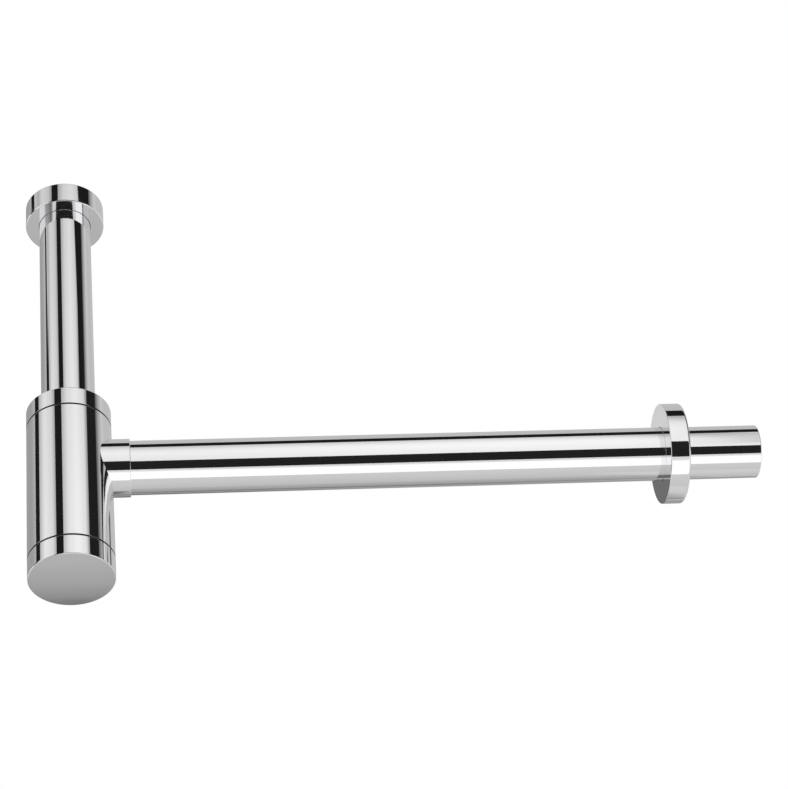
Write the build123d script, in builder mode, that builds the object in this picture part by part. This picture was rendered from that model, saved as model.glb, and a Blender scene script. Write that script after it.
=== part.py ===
"""Round bottle trap for a washbasin, chromed brass, 1 1/4 inch inlet and 32 mm outlet, in millimetres.

The origin is on the inlet axis, at the top of the inlet gasket, where the tail of the basin waste seats.
+Z points up into the basin and +X along the outlet pipe, towards the wall.
"""

import os

from build123d import *

# Clearances, all radial unless the comment says otherwise
slide_gap = 0.2  # a loose ring or nut on a tube
grip_gap = 0.05  # a rubber ring on the tube that it grips
thread_gap = 0.1  # two screwed pieces, crest to crest
seat_gap = 0.05  # a rubber ring in its groove or on its seat, on every side
pass_gap = 0.475  # the tube's collar, as it passes through the union nut's thread

# Inlet tube, with the collar rolled out at its top
tube_od = 32.0
tube_wall = 1.0
collar_width = 3.0
collar_height = 1.2
collar_bend = 0.9
tube_drop = 154.6  # bare tube between the union nut and the gland nut
sump_gap = 11.9  # from the tube's dipped end to the cup's floor

# Union nut on the basin waste, with its friction ring and flat gasket
union_height = 14.9
union_lip = 3.2
union_wall = 3.2
thread_relief = 1.625  # the groove behind the thread is this much wider than the thread's crests
slip_ring_height = 0.8
gasket_height = 2.0
thread_lead = 1.0

# Gland at the top of the bottle: nut, washer and tapered rubber seal around the tube
seal_width = 4.2
seal_land = 3.0
seal_cone = 3.0  # height and width of the seal's 45 degree taper
washer_height = 1.0
gland_web = 3.0
gland_wall = 3.0
gland_travel = 1.0  # what the nut still has to go before it meets the neck
neck_wall = 1.65
neck_height = 7.5

# Bottle
body_height = 96.3
body_wall = 2.2
shoulder_height = 3.0

# Cup screwed into the bottle's lower end, with its rubber ring
cup_height = 13.2
cup_floor = 3.0
cup_wall = 2.5
spigot_height = 9.0
cup_ring_section = 2.0
cup_ring_depth = 1.2  # depth of its groove in the spigot

# Outlet socket on the bottle, and the pipe screwed into it
outlet_drop = 29.7  # from the bottle's upper joint to the outlet's axis
outlet_od = 32.0
outlet_wall = 1.0
socket_wall = 1.1
socket_length = 10.3  # from the bottle's surface, on the outlet's side
seat_web = 1.5
outlet_gasket_height = 1.5
outlet_gasket_lip = 3.5  # how far its inner lip reaches into the pipe
outlet_gasket_wall = 0.95
pipe_reach = 410.0  # from the bottle's axis to the pipe's end
spigot_length = 46.25  # pipe that stands out behind the wall flange
spigot_step = 0.2  # the spigot is sized down so that it enters the drain's rubber sleeve
pipe_rounding = 0.5

# Wall flange that slides on the pipe, with the rubber ring that holds it
flange_od = 60.0
flange_depth = 12.0
flange_web = 4.0
flange_wall = 3.0
flange_ring_section = 1.8

# Edge breaks
joint_chamfer = 0.5
nut_chamfer = 0.5
cup_rounding = 0.6
flange_rounding = 1.5
saddle_rounding = 0.4
burr_chamfer = 0.3

# Radii, from the tube outwards
tube_r = tube_od / 2
tube_ri = tube_r - tube_wall
tube_hole_r = tube_r + slide_gap
collar_r = tube_r + collar_width
union_thread_r = collar_r + pass_gap
union_relief_r = union_thread_r + thread_relief
union_r = union_relief_r + union_wall
seal_r = tube_r + seal_width
neck_bore_r = seal_r + seat_gap
neck_r = neck_bore_r + neck_wall
gland_bore_r = neck_r + thread_gap
bottle_r = gland_bore_r + gland_wall
cavity_r = bottle_r - body_wall
spigot_r = cavity_r - thread_gap
cup_ri = spigot_r - cup_wall
cup_groove_r = spigot_r - cup_ring_depth
cup_ring_r = cup_groove_r + seat_gap + cup_ring_section / 2
cup_pocket_r = cup_ring_r + cup_ring_section / 2 + seat_gap
outlet_r = outlet_od / 2
outlet_ri = outlet_r - outlet_wall
outlet_hole_r = outlet_r + slide_gap
outlet_gasket_ri = outlet_ri - seat_gap - outlet_gasket_wall
socket_bore_r = outlet_r + thread_gap
socket_r = socket_bore_r + socket_wall
flange_r = flange_od / 2
flange_ring_r = outlet_r + grip_gap + flange_ring_section / 2
flange_groove_r = flange_ring_r + flange_ring_section / 2 + seat_gap

# Heights, from the inlet gasket's top downwards
collar_top = -gasket_height
collar_bottom = collar_top - collar_height
lip_top = collar_bottom - slip_ring_height
union_bottom = lip_top - union_lip
union_top = union_bottom + union_height
gland_top = union_bottom - tube_drop
washer_top = gland_top - gland_web
seal_top = washer_top - washer_height
neck_top = seal_top - gland_travel
body_top = neck_top - neck_height
seal_cone_top = seal_top - seal_land
outlet_z = body_top - outlet_drop
body_bottom = body_top - body_height
spigot_top = body_bottom + spigot_height
cup_groove_top = body_bottom + cup_ring_section + 2 * seat_gap
cup_bottom = body_bottom - cup_height
cup_floor_top = cup_bottom + cup_floor
tube_bottom = cup_floor_top + sump_gap

# Places along the outlet's axis, from the bottle's axis outwards
outlet_seat_x = cavity_r + seat_web
pipe_start_x = outlet_seat_x + outlet_gasket_height
socket_end_x = bottle_r + socket_length
flange_back_x = pipe_reach - spigot_length
flange_front_x = flange_back_x - flange_depth
flange_web_x = flange_front_x + flange_web
flange_ring_x = flange_front_x + flange_web / 2
spigot_x = (flange_web_x + flange_back_x) / 2

outlet_axis = Axis((0, 0, outlet_z), (1, 0, 0))
outlet_plane = Plane(origin=(0, 0, outlet_z), x_dir=(0, 1, 0), z_dir=(1, 0, 0))
outlet_section = Plane(origin=(0, 0, outlet_z), x_dir=(1, 0, 0), z_dir=(0, -1, 0))

# Inlet tube: a thin tube, with its collar rolled outwards over a rounded bend
with BuildPart() as inlet_tube:
    with BuildSketch(Plane.XZ):
        with BuildLine():
            Polyline(
                (tube_ri, tube_bottom),
                (tube_r, tube_bottom),
                (tube_r, collar_bottom),
                (collar_r, collar_bottom),
                (collar_r, collar_top),
                (tube_ri, collar_top),
                close=True,
            )
        make_face()
    revolve(axis=Axis.Z)
    collar_edges = inlet_tube.edges().group_by(Axis.Z)[-1]
    fillet(collar_edges.sort_by(SortBy.RADIUS)[0], radius=collar_bend)
    chamfer(inlet_tube.edges().group_by(Axis.Z)[0], length=burr_chamfer)

# Inlet gasket: a flat rubber ring on the collar
with BuildPart() as inlet_gasket:
    with BuildSketch(Plane.XY.offset(collar_top)):
        Circle(collar_r)
        Circle(tube_ri, mode=Mode.SUBTRACT)
    extrude(amount=gasket_height)

# Slip ring: a thin nylon ring under the collar, on which the union nut turns
with BuildPart() as slip_ring:
    with BuildSketch(Plane.XY.offset(lip_top)):
        Circle(collar_r)
        Circle(tube_hole_r, mode=Mode.SUBTRACT)
    extrude(amount=slip_ring_height)

# Union nut: a plain round nut with a lip below, a relief groove, and the thread's bore above
with BuildPart() as union_nut:
    with BuildSketch(Plane.XY.offset(union_bottom)):
        Circle(union_r)
    extrude(amount=union_height)
    chamfer(union_nut.edges().filter_by(GeomType.CIRCLE), length=nut_chamfer)
    with Locations((0, 0, union_top)):
        CounterBoreHole(
            radius=tube_hole_r, counter_bore_radius=union_thread_r, counter_bore_depth=union_top - lip_top
        )
    chamfer(union_nut.edges().group_by(Axis.Z)[-1].sort_by(SortBy.RADIUS)[0], length=thread_lead)
    with BuildSketch(Plane.XY.offset(lip_top)):
        Circle(union_relief_r)
    extrude(amount=-lip_top, mode=Mode.SUBTRACT)

# Gland nut: the top band of the bottle, bored from below for the neck, with a hole for the tube
with BuildPart() as gland_nut:
    with BuildSketch(Plane.XY.offset(body_top)):
        Circle(bottle_r)
    extrude(amount=gland_top - body_top)
    chamfer(gland_nut.edges().group_by(Axis.Z)[-1], length=nut_chamfer)
    chamfer(gland_nut.edges().group_by(Axis.Z)[0], length=joint_chamfer)
    with Locations(Plane(origin=(0, 0, body_top), z_dir=(0, 0, -1))):
        CounterBoreHole(
            radius=tube_hole_r, counter_bore_radius=gland_bore_r, counter_bore_depth=washer_top - body_top
        )

# Gland washer: lets the nut turn without dragging the seal
with BuildPart() as gland_washer:
    with BuildSketch(Plane.XY.offset(seal_top)):
        Circle(neck_r)
        Circle(tube_hole_r, mode=Mode.SUBTRACT)
    extrude(amount=washer_height)

# Gland seal: a rubber ring around the tube, tapered below to wedge into the neck
with BuildPart() as gland_seal:
    with BuildSketch(Plane.XY.offset(seal_top - seal_land - seal_cone)):
        Circle(seal_r)
    extrude(amount=seal_land + seal_cone)
    chamfer(gland_seal.edges().group_by(Axis.Z)[0], length=seal_cone)
    with Locations((0, 0, seal_top)):
        Hole(radius=tube_r + grip_gap)

# Bottle body: barrel, threaded neck and outlet socket in one piece, hollow from below
with BuildPart() as bottle_body:
    with BuildSketch(Plane.XY.offset(body_bottom)):
        Circle(bottle_r)
    extrude(amount=body_height)
    with BuildSketch(outlet_plane):
        Circle(socket_r)
    extrude(amount=socket_end_x)
    saddle = bottle_body.edges(Select.NEW).filter_by(GeomType.BSPLINE)
    fillet(saddle, radius=saddle_rounding)
    chamfer(bottle_body.edges().group_by(Axis.X)[-1], length=burr_chamfer)
    chamfer(bottle_body.edges().group_by(Axis.Z)[-1], length=joint_chamfer)
    chamfer(bottle_body.edges().group_by(Axis.Z)[0], length=joint_chamfer)
    with BuildSketch(Plane.XY.offset(body_top)):
        Circle(neck_r)
    extrude(amount=neck_height)
    with BuildSketch(Plane.XZ):
        with BuildLine():
            Polyline(
                (0, neck_top),
                (neck_bore_r, neck_top),
                (neck_bore_r, seal_cone_top),
                (tube_hole_r, seal_cone_top - neck_bore_r + tube_hole_r),
                (tube_hole_r, body_top - shoulder_height),
                (cavity_r, body_top - shoulder_height),
                (cavity_r, cup_groove_top),
                (cup_pocket_r, cup_groove_top),
                (cup_pocket_r, body_bottom),
                (0, body_bottom),
                close=True,
            )
        make_face()
    revolve(axis=Axis.Z, mode=Mode.SUBTRACT)
    with BuildSketch(outlet_plane):
        Circle(outlet_gasket_ri)
    extrude(amount=socket_end_x, mode=Mode.SUBTRACT)
    with BuildSketch(outlet_plane.offset(outlet_seat_x)):
        Circle(socket_bore_r)
    extrude(amount=socket_end_x - outlet_seat_x, mode=Mode.SUBTRACT)

# Cup: closes the bottle below, with a threaded spigot, a groove for its ring and a flat floor
with BuildPart() as cup:
    with BuildSketch(Plane.XY.offset(cup_bottom)):
        Circle(bottle_r)
    extrude(amount=cup_height)
    fillet(cup.edges().group_by(Axis.Z)[0], radius=cup_rounding)
    chamfer(cup.edges().group_by(Axis.Z)[-1], length=joint_chamfer)
    with BuildSketch(Plane.XY.offset(body_bottom)):
        Circle(cup_groove_r)
    extrude(amount=spigot_height)
    with BuildSketch(Plane.XY.offset(cup_groove_top)):
        Circle(spigot_r)
    extrude(amount=spigot_top - cup_groove_top)
    chamfer(cup.edges().group_by(Axis.Z)[-1], length=burr_chamfer)
    with Locations((0, 0, spigot_top)):
        Hole(radius=cup_ri, depth=spigot_top - cup_floor_top)

# Cup ring: round rubber ring in the groove at the foot of the cup's spigot
with BuildPart() as cup_ring:
    with BuildSketch(Plane.XZ):
        with Locations((cup_ring_r, (body_bottom + cup_groove_top) / 2)):
            Circle(cup_ring_section / 2)
    revolve(axis=Axis.Z)

# Outlet gasket: a flat rubber ring before the pipe's end, held to it by a lip inside the pipe
with BuildPart() as outlet_gasket:
    with BuildSketch(outlet_plane.offset(outlet_seat_x)):
        Circle(outlet_r)
    extrude(amount=outlet_gasket_height)
    with BuildSketch(outlet_plane.offset(pipe_start_x)):
        Circle(outlet_ri - seat_gap)
    extrude(amount=outlet_gasket_lip)
    with BuildSketch(outlet_plane.offset(outlet_seat_x)):
        Circle(outlet_gasket_ri)
    extrude(amount=outlet_gasket_height + outlet_gasket_lip, mode=Mode.SUBTRACT)

# Outlet pipe: a thin tube, sized down behind the wall flange and rounded at its end
with BuildPart() as outlet_pipe:
    with BuildSketch(outlet_section):
        with BuildLine():
            Polyline(
                (pipe_start_x, outlet_ri),
                (pipe_start_x, outlet_r),
                (spigot_x, outlet_r),
                (spigot_x, outlet_r - spigot_step),
                (pipe_reach, outlet_r - spigot_step),
                (pipe_reach, outlet_ri),
                close=True,
            )
        make_face()
    revolve(axis=outlet_axis)
    pipe_end_edges = outlet_pipe.edges().group_by(Axis.X)[-1]
    fillet(pipe_end_edges.sort_by(SortBy.RADIUS)[-1], radius=pipe_rounding)
    chamfer(outlet_pipe.edges().group_by(Axis.X)[0].sort_by(SortBy.RADIUS)[-1], length=burr_chamfer)

# Wall flange: a turned disc, hollow at the back, with a groove for its ring in the bore
with BuildPart() as wall_flange:
    with BuildSketch(outlet_plane.offset(flange_front_x)):
        Circle(flange_r)
    extrude(amount=flange_depth)
    chamfer(wall_flange.edges().group_by(Axis.X)[0], length=burr_chamfer)
    fillet(wall_flange.edges().group_by(Axis.X)[-1], radius=flange_rounding)
    with Locations(outlet_plane.offset(flange_back_x)):
        CounterBoreHole(
            radius=outlet_hole_r,
            counter_bore_radius=flange_r - flange_wall,
            counter_bore_depth=flange_depth - flange_web,
        )
    with BuildSketch(outlet_plane.offset(flange_ring_x)):
        Circle(flange_groove_r)
    extrude(amount=flange_ring_section / 2 + seat_gap, both=True, mode=Mode.SUBTRACT)

# Flange ring: round rubber ring that grips the pipe
with BuildPart() as flange_ring:
    with BuildSketch(outlet_section):
        with Locations((flange_ring_x, flange_ring_r)):
            Circle(flange_ring_section / 2)
    revolve(axis=outlet_axis)

os.makedirs("parts", exist_ok=True)

inlet_tube.part.label = "inlet_tube"
export_step(inlet_tube.part, "parts/inlet_tube.step")
inlet_gasket.part.label = "inlet_gasket"
export_step(inlet_gasket.part, "parts/inlet_gasket.step")
slip_ring.part.label = "slip_ring"
export_step(slip_ring.part, "parts/slip_ring.step")
union_nut.part.label = "union_nut"
export_step(union_nut.part, "parts/union_nut.step")
gland_nut.part.label = "gland_nut"
export_step(gland_nut.part, "parts/gland_nut.step")
gland_washer.part.label = "gland_washer"
export_step(gland_washer.part, "parts/gland_washer.step")
gland_seal.part.label = "gland_seal"
export_step(gland_seal.part, "parts/gland_seal.step")
bottle_body.part.label = "bottle_body"
export_step(bottle_body.part, "parts/bottle_body.step")
cup.part.label = "cup"
export_step(cup.part, "parts/cup.step")
cup_ring.part.label = "cup_ring"
export_step(cup_ring.part, "parts/cup_ring.step")
outlet_gasket.part.label = "outlet_gasket"
export_step(outlet_gasket.part, "parts/outlet_gasket.step")
outlet_pipe.part.label = "outlet_pipe"
export_step(outlet_pipe.part, "parts/outlet_pipe.step")
wall_flange.part.label = "wall_flange"
export_step(wall_flange.part, "parts/wall_flange.step")
flange_ring.part.label = "flange_ring"
export_step(flange_ring.part, "parts/flange_ring.step")
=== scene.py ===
"""Looks of a round chromed bottle trap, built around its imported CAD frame, laid out as a Blender add-on."""

import math

import bmesh
import bpy
from mathutils import Matrix, Vector


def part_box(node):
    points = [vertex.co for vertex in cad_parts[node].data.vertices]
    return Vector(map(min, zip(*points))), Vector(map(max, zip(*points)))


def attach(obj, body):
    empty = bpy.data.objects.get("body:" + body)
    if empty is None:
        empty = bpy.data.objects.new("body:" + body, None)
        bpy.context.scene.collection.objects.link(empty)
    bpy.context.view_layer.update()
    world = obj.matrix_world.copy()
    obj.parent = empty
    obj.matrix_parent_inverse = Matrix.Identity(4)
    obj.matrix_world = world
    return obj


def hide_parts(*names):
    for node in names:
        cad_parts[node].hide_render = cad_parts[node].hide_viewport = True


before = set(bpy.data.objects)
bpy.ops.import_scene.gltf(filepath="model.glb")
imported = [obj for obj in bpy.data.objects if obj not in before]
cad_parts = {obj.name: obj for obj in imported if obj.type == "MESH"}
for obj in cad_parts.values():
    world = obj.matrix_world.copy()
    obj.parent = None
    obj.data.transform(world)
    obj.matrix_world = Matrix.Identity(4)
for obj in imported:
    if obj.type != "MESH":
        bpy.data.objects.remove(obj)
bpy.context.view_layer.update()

bl_info = {
    "name": "Bottle Trap Looks",
    "version": (1, 0, 0),
    "blender": (4, 5, 0),
    "location": "View3D > Sidebar > Trap",
    "description": "Turned chrome pieces, seals and a studio for a round basin bottle trap",
    "category": "Object",
}

MM = 0.001
# Points nearer than this are one point, in metres
NEAR = 1e-6
# The outlet's axis, from the middle of the wall flange
OUTLET_Z = (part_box("wall_flange")[0].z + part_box("wall_flange")[1].z) / 2
# The CAD sizes are whole steps of this, in millimetres
STEP = 0.05


def span(node, axis="Z"):
    """A turned CAD node's two ends along its axis and its outer radius, in millimetres.

    The frame's facets fall a little short of the true round, so each size goes to the nearest whole step.
    """
    low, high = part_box(node)
    if axis == "Z":
        sizes = (low.z, high.z, max(-low.x, high.y))
    else:
        sizes = (low.x, high.x, max(high.y, high.z - OUTLET_Z))
    return [round(size / (STEP * MM)) * STEP for size in sizes]


# Sizes that pieces share, in millimetres
TUBE_R = span("outlet_pipe", "X")[2]
BORE_R = TUBE_R - 1.0
SLIDE_R = TUBE_R + 0.2
WATER_R = 14.0
SOCKET_END = round(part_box("bottle_body")[1].x / (STEP * MM)) * STEP
# Chamfer of the nuts and bands, and of the cut end of a tube, a socket or a spigot
CHAMFER = 0.5
TIP = 0.3
# Rounding of the nuts' and the cup's rims, and of an edge on thin metal
RIM = 0.6
THIN_EDGE = 0.08
# Between the bottle's bands, the upper one's flat face ends this far in from the outside, its edge stands
# back by this, and its chamfer ends this far up
JOINT_IN = 1.0
JOINT_BACK = 0.1
JOINT_RISE = 0.7
# Depth of the threads
UNION_DEPTH = 1.4
BOTTLE_DEPTH = 0.75
PIPE_DEPTH = 0.45
# The ring that seals the cup sits in a groove this high, and the gland's seal tapers over this length
CUP_GROOVE = 2.1
SEAL_TAPER = 3.0
# A thread's outline is a zigzag, steeper by RISE and lowered by FLAT, so that crest and root are flat
THREAD_RISE = 1.35
THREAD_FLAT = 0.15
THREAD_CUTS = 8
# A joined bottle body has far more faces than this
FEWEST_FACES = 1000
# Edges sharper than this stay sharp
SHARP = math.radians(32)
# A rounding smaller than this has 3 facets, and a larger one 8
SMALL_ROUNDING = 0.3
# How far the zone of a finish reaches past its wall
SKIN = 0.05
ANYWHERE = (-math.inf, math.inf)


def linear(code):
    """An sRGB hex code as linear red, green, blue and alpha."""
    channels = [int(code[i : i + 2], 16) / 255 for i in (0, 2, 4)]
    return tuple(c / 12.92 if c <= 0.04045 else ((c + 0.055) / 1.055) ** 2.4 for c in channels) + (1.0,)


class TrapShape(bpy.types.PropertyGroup):
    """How finely the pieces are turned, and the threads that hold them together."""

    steps: bpy.props.IntProperty(
        name="Steps", description="Facets around each turned metal piece", default=288, min=48
    )
    seal_steps: bpy.props.IntProperty(
        name="Seal steps", description="Facets around each seal and washer", default=144, min=48
    )
    edge: bpy.props.FloatProperty(
        name="Edge",
        description="Rounding that polishing leaves on a turned edge",
        default=0.12 * MM,
        unit="LENGTH",
    )
    union_pitch: bpy.props.FloatProperty(
        name="Union pitch",
        description="Pipe thread in the union nut, 11 turns an inch",
        default=2.309 * MM,
        unit="LENGTH",
    )
    bottle_pitch: bpy.props.FloatProperty(
        name="Bottle pitch", description="Thread of the gland nut and the cup", default=1.5 * MM, unit="LENGTH"
    )
    pipe_pitch: bpy.props.FloatProperty(
        name="Pipe pitch", description="Fine thread of the outlet pipe", default=1.0 * MM, unit="LENGTH"
    )


class TrapFinish(bpy.types.PropertyGroup):
    """Colours and polish of the metal, the rubber and the nylon."""

    chrome: bpy.props.FloatVectorProperty(
        name="Chrome",
        description="Colour of the chrome plate",
        subtype="COLOR",
        size=4,
        default=linear("ECECED"),
    )
    brass: bpy.props.FloatVectorProperty(
        name="Brass",
        description="Colour of freshly turned brass",
        subtype="COLOR",
        size=4,
        default=linear("D6B26B"),
    )
    rubber: bpy.props.FloatVectorProperty(
        name="Rubber", description="Colour of the seals", subtype="COLOR", size=4, default=linear("232324")
    )
    nylon: bpy.props.FloatVectorProperty(
        name="Nylon",
        description="Colour of the slip ring and the gland washer",
        subtype="COLOR",
        size=4,
        default=linear("EDEBE2"),
    )
    polish: bpy.props.FloatProperty(
        name="Polish",
        description="Roughness of the plate where it is brightest",
        default=0.03,
        min=0.0,
        max=1.0,
    )


class TrapStudio(bpy.types.PropertyGroup):
    """Camera and light of the photograph."""

    target: bpy.props.FloatVectorProperty(
        name="Target",
        description="Point that the camera is aimed from",
        subtype="TRANSLATION",
        default=(0.190, 0.0, -0.21458),
    )
    turn: bpy.props.FloatProperty(
        name="Turn",
        description="Camera's turn about the vertical",
        subtype="ANGLE",
        default=math.radians(8.56),
    )
    tilt: bpy.props.FloatProperty(
        name="Tilt", description="How far it looks up", subtype="ANGLE", default=math.radians(38.34)
    )
    roll: bpy.props.FloatProperty(
        name="Roll", description="Its roll", subtype="ANGLE", default=math.radians(-6.89)
    )
    distance: bpy.props.FloatProperty(
        name="Distance", description="From the target", default=1.50796, unit="LENGTH"
    )
    focal: bpy.props.FloatProperty(
        name="Focal length", description="In widths of the picture", default=2555.59 / 788
    )
    shift: bpy.props.FloatVectorProperty(
        name="Shift",
        description="Of the lens, across and upwards, in widths of the picture",
        size=2,
        default=(-0.3 / 788, 80.5 / 788),
    )
    floor: bpy.props.FloatProperty(
        name="Floor", description="Height of the studio's floor", default=-1.42, unit="LENGTH"
    )


def place(axis, u, r):
    """A section's point, in millimetres: u along the inlet's axis Z or the outlet's axis X, r out from it."""
    return Vector((r * MM, 0, u * MM)) if axis == "Z" else Vector((u * MM, 0, OUTLET_Z + r * MM))


def around(axis, co):
    """Where a point is round its axis: along it, out from it, and the angle, by the right hand."""
    if axis == "Z":
        return co.z, math.hypot(co.x, co.y), math.atan2(co.y, co.x)
    return co.x, math.hypot(co.y, co.z - OUTLET_Z), math.atan2(co.z - OUTLET_Z, co.y)


def on_wall(axis, co, r, low, high):
    """Whether a point is on the wall at r, between two places along the axis, all in millimetres."""
    u, radius, angle = around(axis, co)
    return abs(radius - r * MM) < NEAR and low * MM - NEAR < u < high * MM + NEAR


def spin_round(bm, axis, steps):
    """Spins a whole mesh once round its axis, and closes it."""
    bmesh.ops.spin(
        bm,
        geom=bm.verts[:] + bm.edges[:],
        cent=place(axis, 0, 0),
        axis=(0, 0, 1) if axis == "Z" else (1, 0, 0),
        dvec=(0, 0, 0),
        angle=math.tau,
        steps=steps,
        use_merge=True,
    )
    bmesh.ops.remove_doubles(bm, verts=bm.verts[:], dist=NEAR)
    bmesh.ops.recalc_face_normals(bm, faces=bm.faces[:])


def turned(axis, section, steps, threads=()):
    """A closed section spun round its axis. A corner is (u, r) or (u, r, rounding), in millimetres.

    A thread is (r, from u, to u, pitch, depth), with its pitch in metres and the rest in millimetres: the
    wall between two corners at r is cut by depth, inwards if that is negative.
    """
    bm = bmesh.new()
    corners = [bm.verts.new(place(axis, *corner[:2])) for corner in section]
    bm.faces.new(corners)
    roundings = {}
    for vert, corner in zip(corners, section):
        if len(corner) > 2:
            roundings.setdefault(corner[2], []).append(vert)
    for size, verts in roundings.items():
        bmesh.ops.bevel(
            bm,
            geom=verts,
            offset=size * MM,
            offset_type="OFFSET",
            segments=3 if size < SMALL_ROUNDING else 8,
            profile=0.5,
            affect="VERTICES",
            material=-1,
        )
    bmesh.ops.delete(bm, geom=bm.faces[:], context="FACES_ONLY")
    on_axis = [e for e in bm.edges if all(around(axis, v.co)[1] < NEAR for v in e.verts)]
    bmesh.ops.delete(bm, geom=on_axis, context="EDGES")
    for r, low, high, pitch, depth in threads:
        walls = [e for e in bm.edges if all(on_wall(axis, v.co, r, low, high) for v in e.verts)]
        bmesh.ops.subdivide_edges(bm, edges=walls, cuts=int((high - low) * MM / pitch * THREAD_CUTS))
    spin_round(bm, axis, steps)
    for r, low, high, pitch, depth in threads:
        for v in bm.verts:
            u, radius, angle = around(axis, v.co)
            inside = min(u - low * MM, high * MM - u)
            if inside > NEAR and abs(radius - r * MM) < NEAR:
                wave = abs(2 * ((u / pitch - angle / math.tau) % 1.0) - 1)
                outline = min(max(THREAD_RISE * wave - THREAD_FLAT, 0), 1)
                # The thread runs out over its last half turn
                cut = depth * MM * outline * min(inside / (0.5 * pitch), 1)
                v.co += (v.co - place(axis, u / MM, 0)).normalized() * cut
    return bm


def flat_ring(node, bore, rounding, steps):
    """A flat washer or gasket that fills a CAD node on the inlet's axis."""
    low, high, outer = span(node)
    corners = ((low, bore), (low, outer), (high, outer), (high, bore))
    return turned("Z", [(u, r, rounding) for u, r in corners], steps)


def round_ring(node, axis, steps):
    """A rubber ring of round section that fills a CAD node."""
    low, high, outer = span(node, axis)
    thick = (high - low) / 2
    middle = place(axis, (low + high) / 2, outer - thick)
    upright = Matrix.Translation(middle) @ Matrix.Rotation(math.pi / 2, 4, "X")
    bm = bmesh.new()
    bmesh.ops.create_circle(bm, segments=24, radius=thick * MM, matrix=upright)
    spin_round(bm, axis, steps)
    return bm


def link_mesh(name, bm, *materials):
    """A new object of the scene, at the origin, that holds a finished mesh and its materials."""
    mesh = bpy.data.meshes.new(name)
    bm.to_mesh(mesh)
    bm.free()
    for material in materials:
        mesh.materials.append(material)
    obj = bpy.data.objects.new(name, mesh)
    bpy.context.scene.collection.objects.link(obj)
    return obj


def zone(axis, radii, ends):
    """A test of a face's centre: is it between two radii, and between two places along the axis?"""

    def holds(centre):
        u, r, angle = around(axis, centre)
        return radii[0] < r / MM < radii[1] and ends[0] < u / MM < ends[1]

    return holds


def piece(name, bm, material, body, others=()):
    """A finished piece that stands for the CAD node of its name.

    Others has pairs of a material and a test of a face's centre, which says whether the face has that material.
    """
    obj = link_mesh(name, bm, material, *(other for other, holds in others))
    obj.data.shade_smooth()
    obj.data.set_sharp_from_angle(angle=SHARP)
    for number, (other, holds) in enumerate(others, 1):
        for polygon in obj.data.polygons:
            if holds(polygon.center):
                polygon.material_index = number
    weighted = obj.modifiers.new("Even normals", "WEIGHTED_NORMAL")
    weighted.mode = "FACE_AREA"
    weighted.weight = 100
    weighted.keep_sharp = True
    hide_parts(name)
    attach(obj, body)


def add_node(tree, kind, inputs=None, **settings):
    """A node with its settings. An input is a value, or an output socket to link from."""
    node = tree.nodes.new(kind)
    for key, value in settings.items():
        setattr(node, key, value)
    for key, value in (inputs or {}).items():
        if isinstance(value, bpy.types.NodeSocket):
            tree.links.new(value, node.inputs[key])
        else:
            node.inputs[key].default_value = value
    return node


def new_material(name):
    """A new material with an empty node tree, and that tree."""
    material = bpy.data.materials.new(name)
    material.use_nodes = True
    material.node_tree.nodes.clear()
    return material, material.node_tree


def dress(tree, constants, tone, patches, roughness, relief=None):
    """Ends a material with its shader, which has these constants and this tone.

    The roughness goes from one level to the other with the patches. A relief is its height as a socket, its
    strength and its depth in metres.
    """
    low, high = roughness
    rough = add_node(
        tree,
        "ShaderNodeMapRange",
        {"Value": patches, "From Min": 0.3, "From Max": 0.7, "To Min": low, "To Max": high},
    )
    inputs = {"Base Color": tone, "Roughness": rough.outputs["Result"], **constants}
    if relief:
        height, strength, depth = relief
        bump = add_node(tree, "ShaderNodeBump", {"Height": height, "Strength": strength, "Distance": depth})
        inputs["Normal"] = bump.outputs["Normal"]
    shader = add_node(tree, "ShaderNodeBsdfPrincipled", inputs)
    add_node(tree, "ShaderNodeOutputMaterial", {"Surface": shader.outputs["BSDF"]})


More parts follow.
